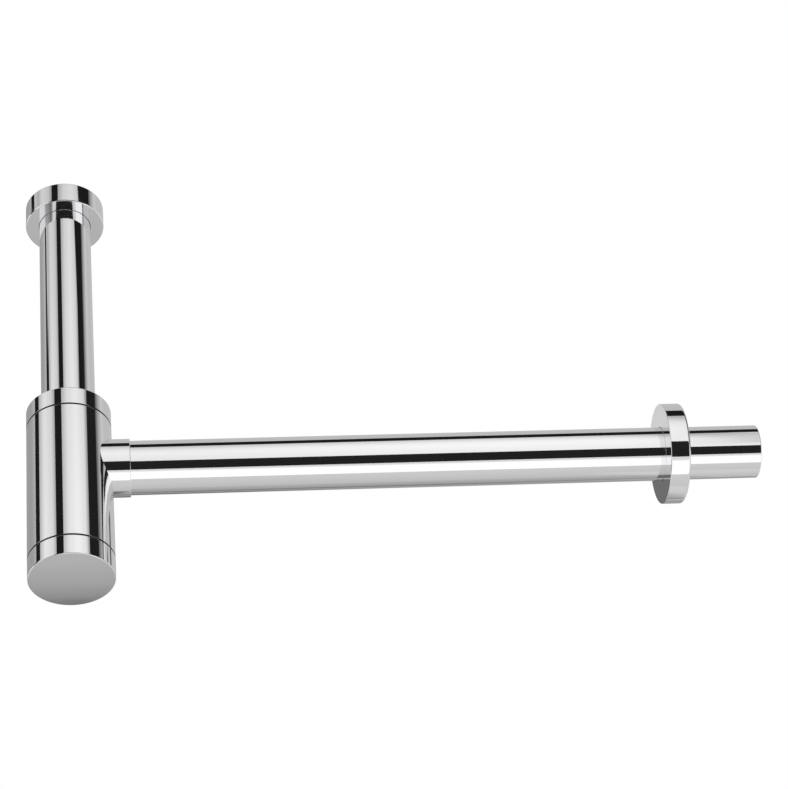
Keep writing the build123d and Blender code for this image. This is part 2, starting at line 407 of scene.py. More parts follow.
def chrome_plate(axis):
    """Bright chrome on polished brass, turned and buffed round its axis.

    The eye sees a clear mirror. Buffing leaves hair lines round the piece and a slight swell, which soften the
    reflections' edges.
    """
    name = "Chrome plate, turned round " + axis
    if name in bpy.data.materials:
        return bpy.data.materials[name]
    finish = bpy.context.scene.trap_finish
    material, tree = new_material(name)
    coords = add_node(tree, "ShaderNodeTexCoord").outputs["Object"]
    # Hair lines 0.35 mm apart along the axis and 60 mm long round it, coarser than real ones,
    # which would not show
    along, across = 1 / (0.35 * MM), 1 / (60 * MM)
    scale = (across, across, along) if axis == "Z" else (along, across, across)
    lines = add_node(tree, "ShaderNodeMapping", {"Vector": coords, "Scale": scale}).outputs["Vector"]
    hair = add_node(tree, "ShaderNodeTexNoise", {"Vector": lines, "Scale": 1.0, "Detail": 2.0})
    # Swell of the buffed metal, 14 mm from crest to crest
    swell = add_node(tree, "ShaderNodeTexNoise", {"Vector": coords, "Scale": 1 / (14 * MM), "Detail": 1.0})
    # Haze in patches of about 30 mm, where the plate was wiped
    haze = add_node(
        tree,
        "ShaderNodeTexNoise",
        {"Vector": coords, "Scale": 1 / (30 * MM), "Detail": 3.0, "Roughness": 0.6},
    )
    rough = add_node(
        tree,
        "ShaderNodeMapRange",
        {
            "Value": haze.outputs["Fac"],
            "From Min": 0.35,
            "From Max": 0.75,
            "To Min": finish.polish,
            "To Max": finish.polish + 0.035,
        },
    )
    swell_bump = add_node(
        tree, "ShaderNodeBump", {"Height": swell.outputs["Fac"], "Strength": 1.0, "Distance": 0.006 * MM}
    )
    hair_bump = add_node(
        tree,
        "ShaderNodeBump",
        {
            "Height": hair.outputs["Fac"],
            "Strength": 1.0,
            "Distance": 0.0001 * MM,
            "Normal": swell_bump.outputs["Normal"],
        },
    )
    shader = add_node(
        tree,
        "ShaderNodeBsdfPrincipled",
        {
            "Base Color": finish.chrome,
            "Metallic": 1.0,
            "Roughness": rough.outputs["Result"],
            "Normal": hair_bump.outputs["Normal"],
        },
    )
    add_node(tree, "ShaderNodeOutputMaterial", {"Surface": shader.outputs["BSDF"]})
    return material


def bare_brass(axis, way, mouth=None):
    """Brass where the plating does not reach: the drawn bore of a tube, or a turned thread or recess.

    The eye sees a dull yellow-brown metal with streaks along the tube, or cutting rings round it, and darker
    stains. A drawn bore is dulled by oxide, so the light fades slowly into it. Plating thrown into the mouth of
    a tube turns its first centimetres grey. The mouth is a place along the axis, in metres.
    """
    name = "Bare brass, " + way + " along " + axis
    if name in bpy.data.materials:
        return bpy.data.materials[name]
    finish = bpy.context.scene.trap_finish
    material, tree = new_material(name)
    coords = add_node(tree, "ShaderNodeTexCoord").outputs["Object"]
    if way == "drawn":
        # Drawing streaks 0.6 mm wide and 80 mm long
        along, across = 1 / (80 * MM), 1 / (0.6 * MM)
        fresh, stained, metallic = linear("B08D4F"), linear("7A6440"), 0.4
    else:
        # Cutting rings 0.25 mm apart
        along, across = 1 / (0.25 * MM), 1 / (50 * MM)
        fresh, stained, metallic = finish.brass, linear("A5834A"), 1.0
    scale = (across, across, along) if axis == "Z" else (along, across, across)
    lines = add_node(tree, "ShaderNodeMapping", {"Vector": coords, "Scale": scale}).outputs["Vector"]
    streak = add_node(tree, "ShaderNodeTexNoise", {"Vector": lines, "Scale": 1.0, "Detail": 3.0})
    # Stains of about 9 mm
    stain = add_node(tree, "ShaderNodeTexNoise", {"Vector": coords, "Scale": 1 / (9 * MM), "Detail": 4.0})
    tone = add_node(
        tree, "ShaderNodeMix", {"Factor": stain.outputs["Fac"], "A": fresh, "B": stained}, data_type="RGBA"
    ).outputs["Result"]
    if mouth is not None:
        spot = add_node(tree, "ShaderNodeSeparateXYZ", {"Vector": coords})
        # Plating fades between 8 and 26 mm from the mouth, in uneven patches
        depth = add_node(
            tree,
            "ShaderNodeMath",
            {0: stain.outputs["Fac"], 1: 12 * MM, 2: spot.outputs[axis]},
            operation="MULTIPLY_ADD",
        )
        reach = add_node(
            tree,
            "ShaderNodeMapRange",
            {"Value": depth.outputs["Value"], "From Min": mouth - 20 * MM, "From Max": mouth - 2 * MM},
        )
        tone = add_node(
            tree,
            "ShaderNodeMix",
            {"Factor": reach.outputs["Result"], "A": tone, "B": linear("B9B8B4")},
            data_type="RGBA",
        ).outputs["Result"]
    streaks = streak.outputs["Fac"]
    dress(tree, {"Metallic": metallic}, tone, streaks, (0.24, 0.46), (streaks, 1.0, 0.008 * MM))
    return material


def unpolished_plate():
    """Chrome plate on turned brass that was not polished, as in the hollow back of the flange.

    The eye sees a satin grey with cutting rings, and a yellow cast in patches where the plate is thin.
    """
    material, tree = new_material("Unpolished plate, turned round X")
    coords = add_node(tree, "ShaderNodeTexCoord").outputs["Object"]
    # Cutting rings 0.5 mm apart, out from the axis and along it: coarser than real ones, which would not show
    off_axis = add_node(tree, "ShaderNodeVectorMath", {0: coords, 1: (0, 0, OUTLET_Z)}, operation="SUBTRACT")
    off_axis = add_node(
        tree, "ShaderNodeVectorMath", {0: off_axis.outputs["Vector"], 1: (0, 1, 1)}, operation="MULTIPLY"
    )
    out = add_node(tree, "ShaderNodeVectorMath", {0: off_axis.outputs["Vector"]}, operation="LENGTH")
    along = add_node(tree, "ShaderNodeSeparateXYZ", {"Vector": coords})
    way = add_node(tree, "ShaderNodeMath", {0: out.outputs["Value"], 1: along.outputs["X"]}, operation="ADD")
    rings = add_node(
        tree,
        "ShaderNodeTexNoise",
        {"W": way.outputs["Value"], "Scale": 1 / (0.5 * MM), "Detail": 2.0},
        noise_dimensions="1D",
    )
    # Thin plate in patches of about 12 mm
    thin = add_node(tree, "ShaderNodeTexNoise", {"Vector": coords, "Scale": 1 / (12 * MM), "Detail": 3.0})
    cast = add_node(
        tree, "ShaderNodeMapRange", {"Value": thin.outputs["Fac"], "From Min": 0.4, "From Max": 0.8}
    )
    tone = add_node(
        tree,
        "ShaderNodeMix",
        {"Factor": cast.outputs["Result"], "A": linear("C6C5C2"), "B": linear("B9A77F")},
        data_type="RGBA",
    )
    rings = rings.outputs["Fac"]
    dress(tree, {"Metallic": 1.0}, tone.outputs["Result"], rings, (0.22, 0.38), (rings, 1.0, 0.01 * MM))
    return material


def joint_shade_and_soil():
    """Painted shade of the joint, with polishing soil, in the fine groove where two bands of the bottle meet: a
    dark colour stands in for the shadow there.

    The eye sees a thin line, nearly black, a little uneven, between two bright edges.
    """
    name = "Polishing soil"
    if name in bpy.data.materials:
        return bpy.data.materials[name]
    material, tree = new_material(name)
    coords = add_node(tree, "ShaderNodeTexCoord").outputs["Object"]
    # Crumbs of 0.8 mm, coarser than real ones, which would not show
    crumbs = add_node(tree, "ShaderNodeTexNoise", {"Vector": coords, "Scale": 1 / (0.8 * MM), "Detail": 2.0})
    # The nearly black tone is painted shade of the groove; the crumbs only make it uneven
    tone = add_node(
        tree,
        "ShaderNodeMix",
        {"Factor": crumbs.outputs["Fac"], "A": linear("161616"), "B": linear("2E2D2C")},
        data_type="RGBA",
    )
    dress(tree, {"IOR": 1.45}, tone.outputs["Result"], crumbs.outputs["Fac"], (0.45, 0.7))
    return material


def moulded_rubber():
    """Black moulded rubber of the seals.

    The eye sees a matt, slightly grey black, with a fine grain from the mould and a dusty bloom.
    """
    name = "Moulded rubber"
    if name in bpy.data.materials:
        return bpy.data.materials[name]
    finish = bpy.context.scene.trap_finish
    material, tree = new_material(name)
    coords = add_node(tree, "ShaderNodeTexCoord").outputs["Object"]
    # Grain of the mould, 0.25 mm
    grain = add_node(tree, "ShaderNodeTexNoise", {"Vector": coords, "Scale": 1 / (0.25 * MM), "Detail": 2.0})
    # Bloom in patches of about 6 mm
    bloom = add_node(tree, "ShaderNodeTexNoise", {"Vector": coords, "Scale": 1 / (6 * MM), "Detail": 3.0})
    tone = add_node(
        tree,
        "ShaderNodeMix",
        {"Factor": bloom.outputs["Fac"], "A": finish.rubber, "B": linear("3B3B3D")},
        data_type="RGBA",
    )
    relief = (grain.outputs["Fac"], 0.6, 0.02 * MM)
    dress(tree, {"IOR": 1.52}, tone.outputs["Result"], bloom.outputs["Fac"], (0.5, 0.68), relief)
    return material


def natural_nylon():
    """Natural nylon of the slip ring and the gland washer, cut from rod.

    The eye sees a milky off-white with a soft gloss and fine cutting rings.
    """
    name = "Natural nylon"
    if name in bpy.data.materials:
        return bpy.data.materials[name]
    finish = bpy.context.scene.trap_finish
    material, tree = new_material(name)
    coords = add_node(tree, "ShaderNodeTexCoord").outputs["Object"]
    # Cutting rings 0.3 mm apart
    rings = add_node(
        tree,
        "ShaderNodeTexWave",
        {"Vector": coords, "Scale": 1 / (0.3 * MM * math.tau), "Distortion": 0.4},
        wave_type="RINGS",
        rings_direction="Z",
    )
    # Milky clouds of about 5 mm
    cloud = add_node(tree, "ShaderNodeTexNoise", {"Vector": coords, "Scale": 1 / (5 * MM), "Detail": 2.0})
    tone = add_node(
        tree,
        "ShaderNodeMix",
        {"Factor": cloud.outputs["Fac"], "A": finish.nylon, "B": linear("DAD6C8")},
        data_type="RGBA",
    )
    relief = (rings.outputs["Fac"], 0.5, 0.008 * MM)
    dress(tree, {"IOR": 1.53}, tone.outputs["Result"], cloud.outputs["Fac"], (0.32, 0.45), relief)
    return material


class TRAP_OT_union(bpy.types.Operator):
    """Union nut with its thread, the slip ring and the gasket in it"""

    bl_idname = "trap.union"
    bl_label = "Union nut"

    def execute(self, context):
        shape = context.scene.trap_shape
        edge = shape.edge / MM
        low, high, outer = span("union_nut")
        shoulder = span("slip_ring")[0]
        seat = span("inlet_gasket")[1]
        relief = 21.1
        # The crest of the thread fits a waste of 1 1/4 inch, and it starts in a cone
        crest = 19.475
        cone = 1.0
        nut = turned(
            "Z",
            [
                (low, SLIDE_R, edge),
                (low, outer - CHAMFER, edge),
                (low + CHAMFER, outer, edge),
                (high, outer, RIM),
                (high, crest + cone, edge),
                (high - cone, crest),
                (seat, crest),
                (seat, relief),
                (shoulder, relief),
                (shoulder, SLIDE_R, edge),
            ],
            shape.steps,
            threads=[(crest, seat, high - cone, shape.union_pitch, UNION_DEPTH)],
        )
        bare = zone("Z", (0, relief + SKIN), (low + 0.1, high - 0.7))
        others = [(bare_brass("Z", "turned"), bare)]
        piece("union_nut", nut, chrome_plate("Z"), "union_nut", others)
        ring = flat_ring("slip_ring", SLIDE_R, 0.1, shape.seal_steps)
        piece("slip_ring", ring, natural_nylon(), "slip_ring")
        gasket = flat_ring("inlet_gasket", BORE_R, 0.2, shape.seal_steps)
        piece("inlet_gasket", gasket, moulded_rubber(), "inlet")
        return {"FINISHED"}


class TRAP_OT_tube(bpy.types.Operator):
    """Inlet tube with its rolled collar"""

    bl_idname = "trap.tube"
    bl_label = "Inlet tube"

    def execute(self, context):
        shape = context.scene.trap_shape
        edge = shape.edge / MM
        low, high, collar = span("inlet_tube")
        under_collar = span("slip_ring")[1]
        tube = turned(
            "Z",
            [
                (low, BORE_R + TIP, edge),
                (low, TUBE_R - TIP, edge),
                (low + TIP, TUBE_R, edge),
                (under_collar, TUBE_R),
                (under_collar, collar, 0.3),
                (high, collar, 0.3),
                (high, BORE_R, 0.9),
                (low + TIP, BORE_R, edge),
            ],
            shape.steps,
        )
        others = [(bare_brass("Z", "drawn", mouth=high * MM), zone("Z", (0, BORE_R + SKIN), ANYWHERE))]
        piece("inlet_tube", tube, chrome_plate("Z"), "inlet", others)
        return {"FINISHED"}


class TRAP_OT_gland(bpy.types.Operator):
    """Gland nut with its thread, and the washer and tapered seal under it"""

    bl_idname = "trap.gland"
    bl_label = "Gland"

    def execute(self, context):
        shape = context.scene.trap_shape
        edge = shape.edge / MM
        low, high, outer = span("gland_nut")
        ceiling = span("gland_washer")[1]
        crest = 22.0
        run_out = ceiling - 1.2
        nut = turned(
            "Z",
            [
                (high, SLIDE_R, edge),
                (ceiling, SLIDE_R, edge),
                (ceiling, crest),
                (run_out, crest),
                (low, crest),
                (low, outer - JOINT_IN - 0.2),
                (low + JOINT_BACK, outer - JOINT_IN),
                (low + JOINT_BACK, outer - CHAMFER, edge),
                (low + JOINT_RISE, outer, edge),
                (high, outer, RIM),
            ],
            shape.steps,
            threads=[(crest, low, run_out, shape.bottle_pitch, BOTTLE_DEPTH)],
        )
        bare = zone("Z", (0, crest + BOTTLE_DEPTH + 0.1), (low + JOINT_BACK, high - 0.2))
        # The chamfer at the gland nut's joint gets painted shade, nearly black, with some polishing soil
        shaded_and_soiled = zone("Z", (outer - CHAMFER - SKIN, math.inf), (-math.inf, low + JOINT_RISE))
        others = [(bare_brass("Z", "turned"), bare), (joint_shade_and_soil(), shaded_and_soiled)]
        piece("gland_nut", nut, chrome_plate("Z"), "gland_nut", others)
        washer = flat_ring("gland_washer", SLIDE_R, 0.1, shape.seal_steps)
        piece("gland_washer", washer, natural_nylon(), "gland_washer")
        low, high, outer = span("gland_seal")
        bore = TUBE_R + 0.05
        cone = low + SEAL_TAPER
        corners = ((low, bore), (low, outer - SEAL_TAPER), (cone, outer), (high, outer), (high, bore))
        seal = turned("Z", [(u, r, 0.2) for u, r in corners], shape.seal_steps)
        piece("gland_seal", seal, moulded_rubber(), "gland_seal")
        return {"FINISHED"}


class TRAP_OT_bottle(bpy.types.Operator):
    """Bottle body: barrel, threaded neck and outlet socket, joined and hollowed"""

    bl_idname = "trap.bottle"
    bl_label = "Bottle body"

    def execute(self, context):
        shape = context.scene.trap_shape
        edge = shape.edge / MM
        low, high, outer = span("bottle_body")
        shoulder = span("gland_nut")[0]
        neck = 21.9
        neck_relief = 0.7
        foot = outer - JOINT_IN
        barrel = turned(
            "Z",
            [
                (low, 0.0),
                (low, foot - 0.1),
                (low + JOINT_BACK, foot),
                (low + JOINT_BACK, outer - CHAMFER, edge),
                (low + JOINT_RISE, outer, edge),
                (shoulder - CHAMFER, outer, edge),
                (shoulder, outer - CHAMFER, edge),
                (shoulder, neck),
                (shoulder + neck_relief, neck),
                (high, neck),
                (high, 0.0),
            ],
            shape.steps,
            threads=[(neck, shoulder + neck_relief, high, shape.bottle_pitch, -BOTTLE_DEPTH)],
        )
        # The socket starts inside the barrel
        root, socket_r = 6.0, 17.2
        socket = turned(
            "X",
            [
                (root, 0.0),
                (root, socket_r),
                (SOCKET_END - TIP, socket_r, THIN_EDGE),
                (SOCKET_END, socket_r - TIP, THIN_EDGE),
                (SOCKET_END, 0.0),
            ],
            shape.steps,
        )
        # The hollow, open at both ends: ring's pocket, thread, chamber, tube's bore and the seal's cone
        below, above = low - 4.4, high + 6.8
        pocket, pocket_r = low + CUP_GROOVE, 23.6
        chamber_r = 22.8
        thread_top = span("cup")[1] + 0.6
        roof = shoulder - 3.0
        cone_r = span("gland_seal")[2] + 0.05
        cone_top = span("gland_seal")[0] + SEAL_TAPER
        hollow = turned(
            "Z",
            [
                (below, 0.0),
                (below, pocket_r),
                (pocket, pocket_r),
                (pocket, chamber_r),
                (thread_top, chamber_r),
                (roof, chamber_r, 0.8),
                (roof, SLIDE_R),
                (cone_top - (cone_r - SLIDE_R), SLIDE_R),
                (cone_top, cone_r),
                (above, cone_r),
                (above, 0.0),
            ],
            shape.steps,
            threads=[(chamber_r, pocket, thread_top, shape.bottle_pitch, BOTTLE_DEPTH)],
        )
        # The waterway: bore through the barrel's wall from its mouth, and the thread of the pipe
        start, mouth, seat = 2.0, 18.0, span("outlet_gasket", "X")[0]
        crest = TUBE_R + 0.1
        beyond = SOCKET_END + 4.7
        waterway = turned(
            "X",
            [
                (start, 0.0),
                (start, WATER_R),
                (seat, WATER_R),
                (seat, crest),
                (SOCKET_END, crest),
                (beyond, crest),
                (beyond, 0.0),
            ],
            shape.steps,
            threads=[(crest, seat, SOCKET_END, shape.pipe_pitch, PIPE_DEPTH)],
        )
        blank = link_mesh("barrel blank", barrel)
        tools = []
        for name, bm, operation in (
            ("socket tool", socket, "UNION"),
            ("hollow tool", hollow, "DIFFERENCE"),
            ("waterway tool", waterway, "DIFFERENCE"),
        ):
            cut = blank.modifiers.new(name, "BOOLEAN")
            cut.operation = operation
            cut.solver = "EXACT"
            cut.object = link_mesh(name, bm)
            tools.append(cut.object)
        context.view_layer.update()
        joined = bpy.data.meshes.new_from_object(blank.evaluated_get(context.evaluated_depsgraph_get()))
        if len(joined.polygons) < FEWEST_FACES:
            raise RuntimeError("The bottle body's barrel, socket and bores were not joined")
        body = bmesh.new()
        body.from_mesh(joined)
        for obj in (blank, *tools):
            old = obj.data
            bpy.data.objects.remove(obj)
            bpy.data.meshes.remove(old)
        bpy.data.meshes.remove(joined)

        def bare(centre):
            """In the chamber, on the neck, or in the socket's bore."""
            u, r, angle = around("Z", centre)
            x, ring, angle = around("X", centre)
            in_chamber = r < foot * MM and u < (roof + 0.3) * MM and ring > (WATER_R + 0.1) * MM
            on_neck = u > (shoulder + 0.1) * MM
            in_socket = ring < (crest + 0.6) * MM and mouth * MM < x < (SOCKET_END - 0.1) * MM
            return in_chamber or on_neck or in_socket

        near_outside = zone("Z", (outer - CHAMFER - SKIN, outer - 0.01), ANYWHERE)

        # The chamfers at the barrel's joints get painted shade, nearly black
        def shaded_and_soiled(centre):
            """On the chamfer at the barrel's foot or shoulder, which gets painted shade with some polishing
            soil.
            """
            return near_outside(centre) and not (low + JOINT_RISE) * MM < centre.z < (shoulder - CHAMFER) * MM

        others = [(bare_brass("Z", "turned"), bare), (joint_shade_and_soil(), shaded_and_soiled)]
        piece("bottle_body", body, chrome_plate("Z"), "bottle", others)
        return {"FINISHED"}


class TRAP_OT_cup(bpy.types.Operator):
    """Cup with its threaded spigot, and the rubber ring at the spigot's foot"""

    bl_idname = "trap.cup"
    bl_label = "Cup"

    def execute(self, context):
        shape = context.scene.trap_shape
        edge = shape.edge / MM
        low, high, outer = span("cup")
        shoulder = span("bottle_body")[0]
        groove_top, groove_r = shoulder + CUP_GROOVE, 21.5
        spigot = 22.7
        hollow = 20.2
        bottom = low + 3.0
        cup = turned(
            "Z",
            [
                (low, 0.0),
                (low, outer, RIM),
                (shoulder - CHAMFER, outer, edge),
                (shoulder, outer - CHAMFER, edge),
                (shoulder, groove_r),
                (groove_top, groove_r),
                (groove_top, spigot),
                (high - TIP, spigot),
                (high, spigot - TIP, edge),
                (high, hollow, 0.4),
                (bottom, hollow, 1.5),
                (bottom, 0.0),
            ],
            shape.steps,
            threads=[(spigot, groove_top, high - TIP, shape.bottle_pitch, -BOTTLE_DEPTH)],
        )
        bare = zone("Z", (0, spigot + SKIN), (low + 1.8, math.inf))
        # The chamfer at the cup's joint gets painted shade, nearly black, with some polishing soil
        shaded_and_soiled = zone("Z", (outer - CHAMFER - SKIN, math.inf), (shoulder - CHAMFER, math.inf))
        others = [(bare_brass("Z", "turned"), bare), (joint_shade_and_soil(), shaded_and_soiled)]
        piece("cup", cup, chrome_plate("Z"), "cup", others)
        ring = round_ring("cup_ring", "Z", shape.seal_steps)
        piece("cup_ring", ring, moulded_rubber(), "cup_ring")
        return {"FINISHED"}


class TRAP_OT_pipe(bpy.types.Operator):
    """Outlet pipe with the thread at its inner end, and the lipped gasket before it"""

    bl_idname = "trap.pipe"
    bl_label = "Outlet pipe"

    def execute(self, context):
        shape = context.scene.trap_shape
        edge = shape.edge / MM
        low, high, outer = span("outlet_pipe", "X")
        thread_end = SOCKET_END - TIP
        # The slightly smaller spigot starts under the flange
        spigot, spigot_r = span("wall_flange", "X")[1] - 4.0, outer - 0.2
        pipe = turned(
            "X",
            [
                (low, BORE_R),
                (low, outer - TIP),
                (low + TIP, outer),
                (thread_end, outer),
                (spigot, outer, THIN_EDGE),
                (spigot, spigot_r),
                (high, spigot_r, 0.5),
                (high, BORE_R, edge),
            ],
            shape.steps,
            threads=[(outer, low + TIP, thread_end, shape.pipe_pitch, -PIPE_DEPTH)],
        )
        others = [
            (bare_brass("X", "drawn", mouth=high * MM), zone("X", (0, BORE_R + SKIN), ANYWHERE)),
            (bare_brass("X", "turned"), zone("X", (BORE_R + SKIN, math.inf), (-math.inf, thread_end))),
        ]
        piece("outlet_pipe", pipe, chrome_plate("X"), "outlet_pipe", others)
        # The gasket lies before the pipe's end, and its lip reaches into the bore
        seat, lip_end, outer = span("outlet_gasket", "X")
        lip = BORE_R - 0.05
        gasket = turned(
            "X",
            [
                (seat, WATER_R, 0.2),
                (seat, outer, 0.2),
                (low, outer, 0.2),
                (low, lip),
                (lip_end, lip, 0.2),
                (lip_end, WATER_R, 0.2),
            ],
            shape.seal_steps,
        )
        piece("outlet_gasket", gasket, moulded_rubber(), "outlet_gasket")
        return {"FINISHED"}


class TRAP_OT_flange(bpy.types.Operator):
    """Wall flange, hollow at the back, and the rubber ring that holds it on the pipe"""

    bl_idname = "trap.flange"
    bl_label = "Wall flange"

    def execute(self, context):
        shape = context.scene.trap_shape
        edge = shape.edge / MM
        low, high, outer = span("wall_flange", "X")
        back = low + 4.0
        hollow = outer - 3.0
        # The ring has 0.05 mm of room on each side in its groove, and over it
        groove_low, groove_high, groove_r = span("flange_ring", "X")
        room = 0.05
        flange = turned(
            "X",
            [
                (low, SLIDE_R, edge),
                (low, outer - TIP, edge),
                (low + TIP, outer, edge),
                (high, outer, 1.5),
                (high, hollow, 0.3),
                (back, hollow, 0.5),
                (back, SLIDE_R, edge),
                (groove_high + room, SLIDE_R),
                (groove_high + room, groove_r + room),
                (groove_low - room, groove_r + room),
                (groove_low - room, SLIDE_R),
            ],
            shape.steps,
        )
        others = [(unpolished_plate(), zone("X", (0, hollow + 0.1), (low + 0.45, high - 0.35)))]
        piece("wall_flange", flange, chrome_plate("X"), "wall_flange", others)
        ring = round_ring("flange_ring", "X", shape.seal_steps)
        piece("flange_ring", ring, moulded_rubber(), "flange_ring")
        return {"FINISHED"}


def soft(rise=0, fall=1):
    """Stops of a card that thins out at its ends: it comes in up to rise, and goes out from fall."""
    start = ((0, 0), (rise, 1)) if rise > 0 else ((0, 1),)
    end = ((fall, 1), (1, 0)) if fall < 1 else ((1, 1),)
    return start + end


def panel(name, size, centre, aim, strength, across=(), upward=(), edges=((), ()), lights=True):
    """A flat softbox or card of the studio, facing aim, that shows in the chrome but not to the camera.

    Its light fades by the stops (place from 0 to 1, level) in across, from left to right as seen from behind
    the camera, and in upward, from foot to top. The foot of one that lies on the floor is its far side. Edges
    has stops in the same two ways, by which it thins out to nothing. One that does not light shows in the
    chrome alone.
    """
    bm = bmesh.new()
    bm.loops.layers.uv.new("UVMap")
    facing = (Vector(aim) - Vector(centre)).to_track_quat("Z", "Y").to_matrix().to_4x4()
    grow = Matrix.Diagonal((-size[0] / 2, size[1] / 2, 1, 1))
    where = Matrix.Translation(centre) @ facing @ grow
    bmesh.ops.create_grid(bm, x_segments=1, y_segments=1, size=1, matrix=where, calc_uvs=True)
    material, tree = new_material(name)
    coords = add_node(tree, "ShaderNodeTexCoord").outputs["UV"]
    spot = add_node(tree, "ShaderNodeSeparateXYZ", {"Vector": coords})

    def faded(rows):
        """The level by the stops across and upwards, as a socket."""
        level = None
        for key, stops in zip("XY", rows):
            if not stops:
                continue
            fade = add_node(tree, "ShaderNodeValToRGB", {"Fac": spot.outputs[key]})
            fade.color_ramp.interpolation = "EASE"
            while len(fade.color_ramp.elements) < len(stops):
                fade.color_ramp.elements.new(0.5)
            for element, (along, bright) in zip(fade.color_ramp.elements, stops):
                element.position = along
                element.color = (bright, bright, bright, 1)
            if level is None:
                level = fade.outputs["Color"]
            else:
                inputs = {"Factor": 1.0, "A": level, "B": fade.outputs["Color"]}
                both = add_node(tree, "ShaderNodeMix", inputs, data_type="RGBA", blend_type="MULTIPLY")
                level = both.outputs["Result"]
        return level

    tone = faded((across, upward)) or (1, 1, 1, 1)
    surface = add_node(tree, "ShaderNodeEmission", {"Color": tone, "Strength": strength}).outputs["Emission"]
    solid = faded(edges)
    if solid:
        clear = add_node(tree, "ShaderNodeBsdfTransparent").outputs["BSDF"]
        surface = add_node(tree, "ShaderNodeMixShader", {0: solid, 1: clear, 2: surface}).outputs["Shader"]
    add_node(tree, "ShaderNodeOutputMaterial", {"Surface": surface})
    obj = link_mesh(name, bm, material)
    obj.visible_camera = False
    obj.visible_shadow = False
    obj.visible_diffuse = lights


class TRAP_OT_studio(bpy.types.Operator):
    """Floor, softboxes, dark cards, world and camera"""

    bl_idname = "trap.studio"
    bl_label = "Studio"

    def execute(self, context):
        studio = context.scene.trap_studio
        scene = context.scene
        scene.view_settings.view_transform = "Standard"
        floor_place = Matrix.Translation((0, 0, studio.floor))
        white = (1, 1, 1, 1)

        def background(tree):
            """1 for a ray that sees the background, straight or in metal or glass, and 0 for its light."""
            rays = add_node(tree, "ShaderNodeLightPath").outputs
            seen = rays["Is Camera Ray"]
            for ray in ("Is Glossy Ray", "Is Transmission Ray"):
                either = add_node(tree, "ShaderNodeMath", {0: seen, 1: rays[ray]}, operation="MAXIMUM")
                seen = either.outputs["Value"]
            return seen

        # White paper on the floor, pale in the picture, with the object's shadow and fibres of 2 mm
        bm = bmesh.new()
        bmesh.ops.create_circle(bm, cap_ends=True, segments=128, radius=12.0, matrix=floor_place)
        material, tree = new_material("White paper")
        coords = add_node(tree, "ShaderNodeTexCoord").outputs["Object"]
        fibre = add_node(tree, "ShaderNodeTexNoise", {"Vector": coords, "Scale": 1 / (2 * MM), "Detail": 3.0})
        tone = add_node(
            tree,
            "ShaderNodeMix",
            {"Factor": fibre.outputs["Fac"], "A": linear("F4F4F4"), "B": linear("EFEFEF")},
            data_type="RGBA",
        )
        paper = add_node(tree, "ShaderNodeBsdfDiffuse", {"Color": tone.outputs["Result"]})
        lift = add_node(tree, "ShaderNodeMath", {0: background(tree), 1: 0.5}, operation="MULTIPLY")
        pale = add_node(tree, "ShaderNodeEmission", {"Color": white, "Strength": lift.outputs["Value"]})
        both = add_node(tree, "ShaderNodeAddShader", {0: paper.outputs["BSDF"], 1: pale.outputs["Emission"]})
        add_node(tree, "ShaderNodeOutputMaterial", {"Surface": both.outputs["Shader"]})
        link_mesh("studio floor", bm, material)

        # World: a white background, which lights the object at a plain grey level
        world = bpy.data.worlds.new("White background")
        world.use_nodes = True
        tree = world.node_tree
        tree.nodes.clear()
        tone = add_node(
            tree,
            "ShaderNodeMix",
            {"Factor": background(tree), "A": (0.46, 0.46, 0.46, 1), "B": white},
            data_type="RGBA",
        )
        sky = add_node(tree, "ShaderNodeBackground", {"Color": tone.outputs["Result"], "Strength": 1.0})
        add_node(tree, "ShaderNodeOutputWorld", {"Surface": sky.outputs["Background"]})
        scene.world = world

        # Grey walls and ceiling of the room, darker at the back on the left, which show in the chrome
        bm = bmesh.new()
        bmesh.ops.create_uvsphere(bm, u_segments=64, v_segments=32, radius=13.0, matrix=floor_place)
        bmesh.ops.reverse_faces(bm, faces=bm.faces[:])
        material, tree = new_material("Grey wall paint")
        coords = add_node(tree, "ShaderNodeTexCoord").outputs["Object"]
        backward = add_node(
            tree, "ShaderNodeVectorMath", {0: coords, 1: (-0.5, 0.87, 0)}, operation="DOT_PRODUCT"
        )
        level = add_node(
            tree,
            "ShaderNodeMapRange",
            {
                "Value": backward.outputs["Value"],
                "From Min": 5.0,
                "From Max": 9.0,
                "To Min": 0.58,
                "To Max": 0.37,
            },
            interpolation_type="SMOOTHSTEP",
        )
        paint = add_node(tree, "ShaderNodeEmission", {"Color": white, "Strength": level.outputs["Result"]})
        add_node(tree, "ShaderNodeOutputMaterial", {"Surface": paint.outputs["Emission"]})
        room = link_mesh("studio room", bm, material)
        room.visible_camera = False
        room.visible_diffuse = False
        room.visible_shadow = False

        def stand(name, left, right, low, high, distance, strength, **fades):
            """An upright card between two bearings from the bottle, 0 towards the camera and + to the right."""
            a = math.radians((left + right) / 2)
            width = 2 * distance * math.tan(math.radians(right - left) / 2)
            middle = (low + high) / 2
            spot = (distance * math.sin(a), -distance * math.cos(a), middle)
            panel(name, (width, high - low), spot, (0, 0, middle), strength, **fades)

        def lay(name, size, x, y, strength, raised=0.01, **fades):
            """A card on the floor, with its middle at x and y, that shows in the chrome alone."""
            panel(name, size, (x, y, studio.floor + raised), (x, y, 2), strength, lights=False, **fades)

        black, grey = 0.012, 0.7
        stand(
            "front softbox", -18, 50, -0.46, 1.95, 1.45, 1.1,
            across=((0, 0.62), (0.3, 0.92), (0.55, 1.0), (0.8, 0.9), (1, 0.6)),
            upward=((0, 0.93), (0.35, 1.0), (1, 0.66)),
        )
        stand(
            "left softbox", -86.5, -37, -0.6, 2.1, 1.5, 0.98,
            across=((0, 0.65), (0.4, 1.0), (0.75, 0.9), (1, 0.55)),
            upward=((0, 1.0), (0.4, 1.0), (1, 0.62)),
        )
        stand("left front card", -37, -18, -1.2, 2.2, 1.4, black)
